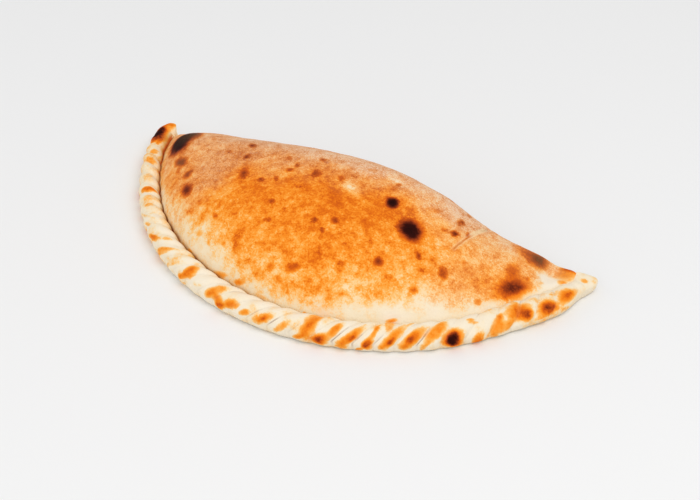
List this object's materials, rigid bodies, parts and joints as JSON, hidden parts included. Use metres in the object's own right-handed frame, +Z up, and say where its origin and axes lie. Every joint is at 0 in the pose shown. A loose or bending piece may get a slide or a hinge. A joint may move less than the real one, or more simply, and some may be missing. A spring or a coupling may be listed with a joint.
{
  "type": "calzone",
  "caption": "A baked calzone: browned pizza dough folded over its filling into a domed half-moon, its curved edge sealed with a twisted rope.",
  "frame": {"origin": "middle of the footprint's bounding box, on the plane the calzone rests on", "axes": "+X along the fold from the blunt end to the long tail, +Y from the curved rope edge towards the straight fold, +Z up"},
  "size_m": [0.2828, 0.1286, 0.0477],
  "materials": {
    "baked_dough": "dry baked crust, matt, pale cream to orange with dark scorched spots"
  },
  "bodies": {
    "root": {"calzone": "baked_dough"}
  },
  "joints": []
}
